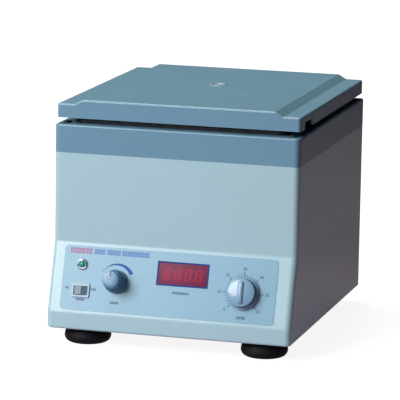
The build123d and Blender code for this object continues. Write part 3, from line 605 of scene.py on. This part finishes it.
READOUT = at_centre_of("display_window")
frame_blue = ink("frame_blue_ink", (34, 60, 132))
half_x, half_y, band = 29.9, 12.6, 1.9    # half the window, and the width of its printed frame
settle("readout_frame", prisms([
    slab(-half_x - band, half_x + band, half_y, half_y + band),
    slab(-half_x - band, half_x + band, -half_y - band, -half_y),
    slab(-half_x - band, -half_x, -half_y, half_y), slab(half_x, half_x + band, -half_y, half_y)],
    low_ink, high_ink), READOUT, "chassis", frame_blue)


def build_row_of():
    """Geometry nodes that set copies of a mark in a row, centred on the origin."""
    tree, sockets, given, points, index = repeating_tree("row_of", "Pitch")
    last = calculate(tree, "SUBTRACT", given.outputs["Count"], 1.0)
    centred = calculate(tree, "MULTIPLY_ADD", last, -0.5, index)
    place_copies(tree, given, points, calculate(tree, "MULTIPLY", centred, given.outputs["Pitch"]))
    return tree, sockets


row_of = build_row_of()


def marks_row(count, pitch, height, x, y, material):
    """Row of small plain marks that stands where a word is printed, centred on a point."""
    wide, stroke = pitch * 0.72, pitch * 0.24
    top, low = height / 2, -height / 2
    mark = prisms([slab(-wide / 2, -wide / 2 + stroke, low, top),
                   slab(wide / 2 - stroke, wide / 2, low, top),
                   slab(-wide / 2 + stroke, wide / 2 - stroke, top - stroke, top),
                   slab(-wide / 2 + stroke, wide / 2 - stroke, low, low + stroke)], low_ink, high_ink)
    mesh = repeated(row_of, mark, Count=count, Pitch=pitch, Material=material)
    mesh.transform(Matrix.Translation((x, y, 0)))
    return mesh


rose_ink = ink("rose_ink", (176, 84, 140))
sky_ink = ink("sky_ink", (50, 104, 180))
PLATE = at_centre_of("control_overlay")
HEADING = 32.6                      # height of the heading above the middle of the film
settle("heading_rose", marks_row(6, 4.6, 6.4, -111.0, HEADING, rose_ink), PLATE, "chassis",
       rose_ink)
words = [marks_row(count, 3.4, 5.8, x, HEADING, sky_ink)
         for count, x in ((4, -88.0), (5, -70.6), (10, -43.4))]
settle("heading_blue", joined(words), PLATE, "chassis", sky_ink)
SWITCH = at_centre_of("power_switch")
small = [marks_row(5, 2.1, 2.8, 0, -12.4, grey_blue_ink), marks_row(2, 2.1, 2.6, -17.5, 0.5, grey_blue_ink),
         marks_row(3, 2.1, 2.6, 15.8, 0.5, grey_blue_ink)]
settle("switch_signs", joined(small), SWITCH, "chassis", grey_blue_ink)
settle("speed_sign", marks_row(5, 2.1, 2.8, 0, -25.4, grey_blue_ink), SPEED, "chassis",
       grey_blue_ink)
settle("timer_sign", marks_row(4, 2.6, 3.0, 0, -29.0, grey_blue_ink), DIAL, "chassis",
       grey_blue_ink)
settle("readout_sign", marks_row(9, 2.3, 2.8, -1, -22.2, grey_blue_ink), READOUT, "chassis",
       grey_blue_ink)

# ---- Rating plate and rotor numbers -----------------------------------------------------------
# A thin printed aluminium plate, glued on the rear panel once the machine is together, and the
# numbers of the six tube places, printed on the rotor's flat rim.
plate_metal = coating("printed_aluminium", paint(186, 190, 195), 0.36, drift=0.1, metallic=0.5,
                      wear=0.3, lines=(0.0005, 0.000006, (1.0, 1.0, 0.03)))
rear_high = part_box("rear_panel")[1]
seen_from_behind = Matrix(((-1, 0, 0), (0, 0, 1), (0, 1, 0))).transposed().to_4x4()
BACK = Matrix.Translation((-0.084, rear_high.y, 0.066)) @ seen_from_behind
plate_x, plate_y = 31.0, 19.0       # half its width and height
settle("rating_plate", prisms([slab(-plate_x, plate_x, -plate_y, plate_y)], 0, FILM), BACK, "chassis",
       plate_metal)
entries = [marks_row(8, 4.2, 4.4, 0, 12.6, grey_blue_ink)]
for level in (3.6, -3.4, -10.4):
    entries.append(marks_row(6, 2.4, 2.8, -19.0, level, grey_blue_ink))
    entries.append(marks_row(9, 2.4, 2.8, 12.0, level, grey_blue_ink))
    entries.append(prisms([slab(-28.5, 28.5, level + 3.3, level + 3.6)], low_ink, high_ink))
settle("rating_marks", joined(entries), BACK, "chassis", grey_blue_ink)
rotor_axis = joints["rotor_spin"]["pos_m"]
rim_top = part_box("angle_rotor")[1].z
RIM = Matrix.Translation((rotor_axis[0], rotor_axis[1], rim_top - FILM * MM))
RIM_MIDDLE = 74.0                   # radius of the middle of the flat rim
TUBE_PLACES = 6
places = []
for place in range(TUBE_PLACES):
    number = figures(str(place + 1), 0, -RIM_MIDDLE, 5.6)
    number.transform(Matrix.Rotation(math.pi / 2 + 2 * math.pi * place / TUBE_PLACES, 4, "Z"))
    places.append(number)
settle("rotor_numbers", joined(places), RIM, "rotor_assembly", grey_blue_ink)

# ---- Lamp, display and switch -----------------------------------------------------------------
# A green lens in a bright bezel, four seven-segment digits behind a red filter, and an off-white
# rocker switch in its frame.
green_lens = coating("green_lens", paint(30, 138, 128), 0.12, drift=0.2, drift_size=0.004,
                     coat=0.6)
give(green_lens, "lamp_lens")
red_filter = coating("red_filter", paint(140, 50, 88), 0.5, drift=0.08, drift_size=0.02,
                     ior=1.49)
tune(red_filter, Specular_IOR_Level=0.06, Transmission_Weight=0.35)


def rounded_slab(x, y, low, high, bevel):
    """Box mesh centred in plan, with every edge rounded."""
    shape = bmesh.new()
    bmesh.ops.create_cube(shape, size=1.0)
    bmesh.ops.scale(shape, vec=(x, y, high - low), verts=shape.verts)
    bmesh.ops.translate(shape, vec=(0, 0, (high + low) / 2), verts=shape.verts)
    bmesh.ops.bevel(shape, geom=shape.edges[:], offset=bevel, segments=3, profile=0.5, affect="EDGES")
    mesh = bpy.data.meshes.new("rounded_slab")
    shape.to_mesh(mesh)
    shape.free()
    return mesh


red_plate = settle("readout_filter", rounded_slab(59.8, 25.2, -0.9, 0.2, 0.15), READOUT, "chassis",
                   red_filter, 0.6)
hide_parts("display_window")
segment_red = coating("segment_red", paint(214, 40, 70), 0.4, drift=0.1, drift_size=0.002)
tune(segment_red, Emission_Color=(1, 0.05, 0.1, 1), Emission_Strength=7.0)


SLANT = 0.12                        # the digits lean this much to the right


def segment(x, y, length, upright):
    """Long hexagon of one digit segment, centred on a point."""
    half, wide = length / 2, 0.9        # half its length and half its width
    outline = [(-half, 0), (-half + wide, -wide), (half - wide, -wide), (half, 0), (half - wide, wide),
               (-half + wide, wide)]
    if upright:
        outline = [(-b, a) for a, b in outline]
    return [(a + x + (b + y) * SLANT, b + y) for a, b in outline]


SPAN = 6.4                          # length of one segment
digit = [segment(0, SPAN * level, SPAN, False) for level in (-1, 0, 1)]
digit += [segment(side * SPAN / 2, level * SPAN / 2, SPAN, True) for side in (-1, 1) for level in (-1, 1)]
digit.append(slab(5.2, 6.6, -7.2, -5.8))        # decimal point
digits = repeated(row_of, prisms(digit, -1.45, -1.0), Count=4, Pitch=12.7, Material=segment_red)
settle("readout_digits", digits, READOUT, "chassis", segment_red)
off_white = coating("off_white_plastic", paint(160, 188, 202), 0.34, drift=0.06,
                    wear=0.2, grain=(0.0005, 0.00002, 0.4))
give(off_white, "power_switch")
rocker_grey = coating("rocker_plastic", paint(94, 124, 142), 0.3, drift=0.06, wear=0.3,
                      wear_colour=paint(184, 204, 214), grain=(0.0005, 0.00002, 0.4))
give(rocker_grey, "power_rocker")

# ---- Knobs ------------------------------------------------------------------------------------
# Moulded in grey-blue plastic and pressed on their shafts.  The speed knob has a fluted barrel
# behind a smooth cap, and the timer knob a finely knurled band and a low grip bar.  The ribs of
# both knobs are coloured darker than the plastic: painted shade between the flutes.
knob_plastic = coating("grey_blue_plastic", paint(126, 162, 190), 0.26, drift=0.08, coat=0.3,
                       wear=0.4, wear_colour=paint(200, 214, 226), grain=(0.0005, 0.00001, 0.4))
# Painted shade: the speed knob is the same plastic as the timer knob, coloured darker here to stand for its
# shade.
speed_plastic_painted_shade = coating("speed_knob_painted_shade_plastic", paint(88, 132, 166), 0.3, drift=0.08, coat=0.1,
                        wear=0.3, wear_colour=paint(176, 200, 220), grain=(0.0005, 0.00001, 0.4))
# Painted shade: the ribs of both knobs get this darker blue-grey to stand for the shade between the flutes.
knob_shade = coating("knob_rib_painted_shade", paint(70, 82, 118), 0.3, drift=0.1,
                     wear=0.5, wear_colour=paint(176, 192, 212), grain=(0.0005, 0.00001, 0.4))


def turned(profile, steps=96):
    """Closed solid of revolution about Z from (radius, height) pairs, first and last on the axis."""
    shape = bmesh.new()
    rings = []
    for radius, height in profile:
        if radius == 0:
            rings.append([shape.verts.new((0, 0, height))])
        else:
            rings.append([shape.verts.new((radius * math.cos(2 * math.pi * k / steps),
                                           radius * math.sin(2 * math.pi * k / steps), height))
                          for k in range(steps)])
    for low, high in zip(rings, rings[1:]):
        for k in range(steps):
            nxt = (k + 1) % steps
            if len(low) == 1:
                shape.faces.new((low[0], high[nxt], high[k]))
            elif len(high) == 1:
                shape.faces.new((low[k], low[nxt], high[0]))
            else:
                shape.faces.new((low[k], low[nxt], high[nxt], high[k]))
    mesh = bpy.data.meshes.new("turned")
    shape.to_mesh(mesh)
    shape.free()
    return mesh


def arc(cx, cz, radius, start, end, steps=5):
    """Rounded corner of a profile, from one angle to another in degrees."""
    return [(cx + radius * math.cos(math.radians(start + (end - start) * k / steps)),
             cz + radius * math.sin(math.radians(start + (end - start) * k / steps)))
            for k in range(steps + 1)]


speed_body = turned([(0, -7), (2.95, -7), (2.95, 6.5), (9, 6.5), (9, 1.3)] + arc(9.4, 1.4, 0.4, 180, 270)
                    + arc(13.9, 1.4, 0.4, 270, 360) + arc(13.7, 4.0, 0.6, 0, 80)
                    + [(12.4, 5.2), (11.9, 6.2), (11.0, 16.5), (10.6, 17.2), (10.2, 17.6)]
                    + arc(9.0, 23.8, 1.2, 8, 82) + [(5.0, 25.1), (0, 25.2)])
speed_rib = rounded_slab(1.5, 1.5, 0, 10.8, 0.4)
speed_rib.transform(Matrix.Translation((0, 0, 5.6)) @ Matrix.Rotation(-math.atan2(1.0, 10.6), 4, "Y"))
SPEED_RIBS, TIMER_RIBS = 20, 44
# The speed knob's ribs carry the painted-shade rib colour.
speed_ribs = repeated(ring_of, speed_rib, Count=SPEED_RIBS, Radius=12.2, Start=0.0,
                      Step=2 * math.pi / SPEED_RIBS, Material=knob_shade)
index_line = prisms([slab(-0.45, 0.45, 3.2, 9.4)], 24.9, 25.3)
# The speed knob's body carries the darker painted-shade copy of the knob plastic.
speed_piece = settle("speed_knob_body", speed_body, SPEED, "speed_knob", speed_plastic_painted_shade, 0.7)
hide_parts("speed_knob")
settle("speed_knob_ribs", speed_ribs, SPEED, "speed_knob", knob_shade, 0.7)
settle("speed_knob_line", index_line, SPEED, "speed_knob", ink("knob_line_ink", (60, 74, 104)))

timer_body = turned([(0, -13), (2.95, -13), (2.95, 6), (12, 6), (12, 1.3)] + arc(12.4, 1.4, 0.4, 180, 270)
                    + arc(19.5, 1.5, 0.5, 270, 360) + arc(19.4, 2.6, 0.6, 0, 80)
                    + [(17.2, 4.0), (16.6, 4.4), (16.3, 8.6), (16.6, 9.0)] + arc(15.3, 10.4, 1.5, 0, 75)
                    + [(12.0, 12.7), (6.0, 13.2), (0, 13.4)])
timer_rib = rounded_slab(1.1, 1.25, 0, 4.2, 0.3)
# The timer knob's knurled ribs carry the painted-shade rib colour.
timer_ribs = repeated(ring_of, timer_rib, Count=TIMER_RIBS, Radius=16.7, Start=0.0,
                      Step=2 * math.pi / TIMER_RIBS, Material=knob_shade)
timer_ribs.transform(Matrix.Translation((0, 0, 4.4)))
bar = rounded_slab(7.6, 27.4, 8.0, 15.4, 3.0)
timer_piece = settle("timer_knob_body", timer_body, DIAL, "timer_knob", knob_plastic, 0.7)
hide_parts("timer_knob")
settle("timer_knob_ribs", timer_ribs, DIAL, "timer_knob", knob_shade, 0.7)
settle("timer_knob_bar", bar, DIAL, "timer_knob", knob_plastic, 0.7)

# ---- Studio -----------------------------------------------------------------------------------
# A pale floor, a large soft light from the front left, a weaker warm one above, and a camera with
# a long lens a little to the right of the front.  The camera sees the floor nearly white, while
# the machine gets only a weak rosy glow from the floor close to it.
floor_mesh = bpy.data.meshes.new("studio_floor")
reach = 12.0                        # half the floor's width
floor_mesh.from_pydata([(-reach, -reach, 0), (reach, -reach, 0), (reach, reach, 0), (-reach, reach, 0)],
                       [], [(0, 1, 2, 3)])
floor = bpy.data.objects.new("studio_floor", floor_mesh)
bpy.context.scene.collection.objects.link(floor)
floor_material = bpy.data.materials.new("studio_floor")
floor_material.use_nodes = True
floor_nodes, floor_links = floor_material.node_tree.nodes, floor_material.node_tree.links
floor_surface = floor_nodes["Principled BSDF"]
floor_surface.inputs["Base Color"].default_value = (0.22, 0.18, 0.21, 1)
floor_surface.inputs["Roughness"].default_value = 0.9
away = floor_nodes.new("ShaderNodeVectorMath")
away.operation = "LENGTH"
floor_links.new(floor_nodes.new("ShaderNodeTexCoord").outputs["Object"], away.inputs[0])
fade = floor_nodes.new("ShaderNodeMapRange")
fade.interpolation_type = "SMOOTHSTEP"
near_glow = floor_nodes.new("ShaderNodeMapRange")
for node, distances_and_strengths in ((fade, (0.1, 0.9, 0.89, 1.0)), (near_glow, (0.15, 0.6, 0.2, 0.0))):
    for label, value in zip(("From Min", "From Max", "To Min", "To Max"), distances_and_strengths):
        node.inputs[label].default_value = value
    floor_links.new(away.outputs["Value"], node.inputs["Value"])
glow = floor_nodes.new("ShaderNodeMix")
tint = floor_nodes.new("ShaderNodeMix")
tint.data_type = "RGBA"
tint.inputs["A"].default_value = (1.0, 0.8, 0.98, 1.0)
tint.inputs["B"].default_value = (1.0, 1.0, 1.0, 1.0)
seen_directly = floor_nodes.new("ShaderNodeLightPath").outputs["Is Camera Ray"]
for mix in (glow, tint):
    floor_links.new(seen_directly, mix.inputs["Factor"])
floor_links.new(tint.outputs["Result"], floor_surface.inputs["Emission Color"])
floor_links.new(near_glow.outputs["Result"], glow.inputs["A"])
floor_links.new(fade.outputs["Result"], glow.inputs["B"])
floor_links.new(glow.outputs["Result"], floor_surface.inputs["Emission Strength"])
floor_mesh.materials.append(floor_material)

world = bpy.data.worlds.new("studio")
bpy.context.scene.world = world
world.use_nodes = True
sky_nodes, sky_links = world.node_tree.nodes, world.node_tree.links
backdrop = sky_nodes["Background"]
direction = sky_nodes.new("ShaderNodeTexCoord").outputs["Generated"]
toward_key = sky_nodes.new("ShaderNodeVectorMath")
toward_key.operation = "DOT_PRODUCT"
toward_key.inputs[1].default_value = Vector((-0.72, -0.45, 0.53)).normalized()
sky_links.new(direction, toward_key.inputs[0])
ramp = sky_nodes.new("ShaderNodeMapRange")
for label, value in (("From Min", 0.1), ("From Max", 0.9), ("To Min", 0.015), ("To Max", 0.4)):
    ramp.inputs[label].default_value = value
sky_links.new(toward_key.outputs["Value"], ramp.inputs["Value"])
white_to_camera = sky_nodes.new("ShaderNodeMix")
sky_camera_ray = sky_nodes.new("ShaderNodeLightPath").outputs["Is Camera Ray"]
sky_links.new(sky_camera_ray, white_to_camera.inputs["Factor"])
sky_links.new(ramp.outputs["Result"], white_to_camera.inputs["A"])
white_to_camera.inputs["B"].default_value = 1.0
sky_links.new(white_to_camera.outputs["Result"], backdrop.inputs["Strength"])


def soft_light(name, place, aim, size, power):
    """Square soft box that points from its place at the aim."""
    lamp = bpy.data.lights.new(name, "AREA")
    lamp.size = size
    lamp.energy = power
    light = bpy.data.objects.new(name, lamp)
    bpy.context.scene.collection.objects.link(light)
    light.location = place
    light.rotation_euler = (Vector(aim) - Vector(place)).to_track_quat("-Z", "Y").to_euler()
    return light


middle = (cad_box[0] + cad_box[1]) / 2
soft_light("key_light", (-1.7, -2.6, 1.9), middle, 2.0, 144)
soft_light("top_light", (-0.5, 0.5, 2.4), middle, 1.6, 55).data.color = (1.0, 0.9, 0.77)

camera_data = bpy.data.cameras.new("camera")
camera_data.sensor_width = 36.0
camera_data.lens = 269.2
camera_data.clip_end = 50.0
camera = bpy.data.objects.new("camera", camera_data)
bpy.context.scene.collection.objects.link(camera)
aside, tilt, roll = 0.2759, -0.1898, 0.0166
camera.matrix_world = (Matrix.Translation((0.9702, -3.4682, 0.8455)) @ Matrix.Rotation(aside, 4, "Z")
                       @ Matrix.Rotation(math.pi / 2 + tilt, 4, "X") @ Matrix.Rotation(roll, 4, "Z"))
bpy.context.scene.camera = camera
bpy.context.scene.view_settings.view_transform = "Standard"
